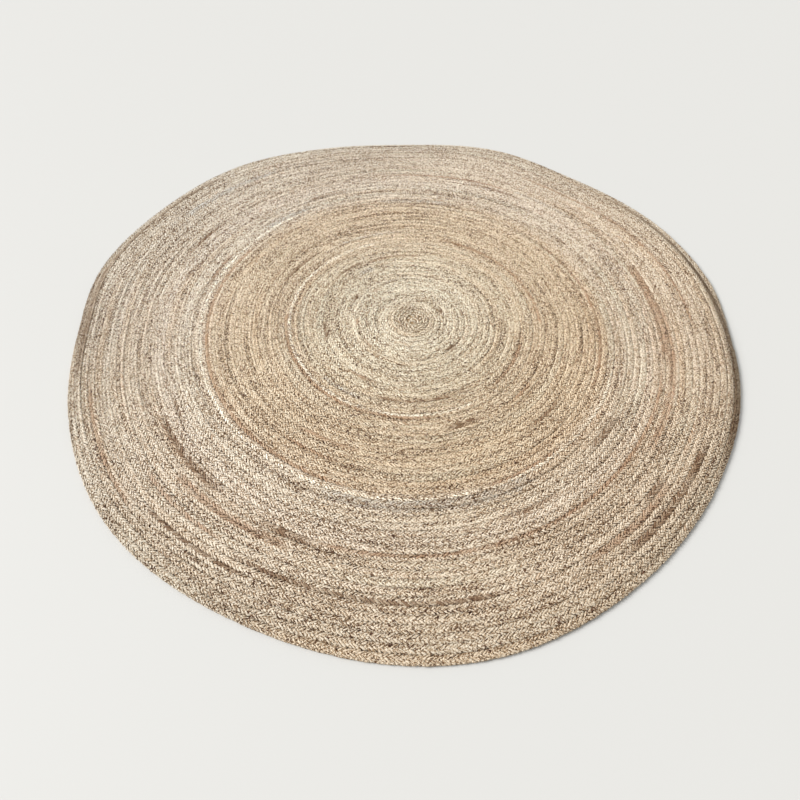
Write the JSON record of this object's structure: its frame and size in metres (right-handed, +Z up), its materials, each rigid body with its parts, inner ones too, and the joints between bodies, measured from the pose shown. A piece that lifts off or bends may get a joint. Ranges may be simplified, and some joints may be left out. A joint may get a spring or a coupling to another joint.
{
  "type": "round jute rug",
  "caption": "Round flat rug of one jute braid coiled from the middle outwards and sewn turn to turn, lying flat with a slightly wavy, curled rim.",
  "frame": {"origin": "middle of the rug's box in plan, on the floor", "axes": "+Z up, out of the rug's top face; +Y away from the edge that a person stands at in the usual view"},
  "size_m": [1.9949, 1.9934, 0.0247],
  "materials": {
    "jute_braid": "natural undyed jute yarn, matt, cream to tan with brown strands"
  },
  "bodies": {
    "root": {"rug": "jute_braid"}
  },
  "joints": []
}
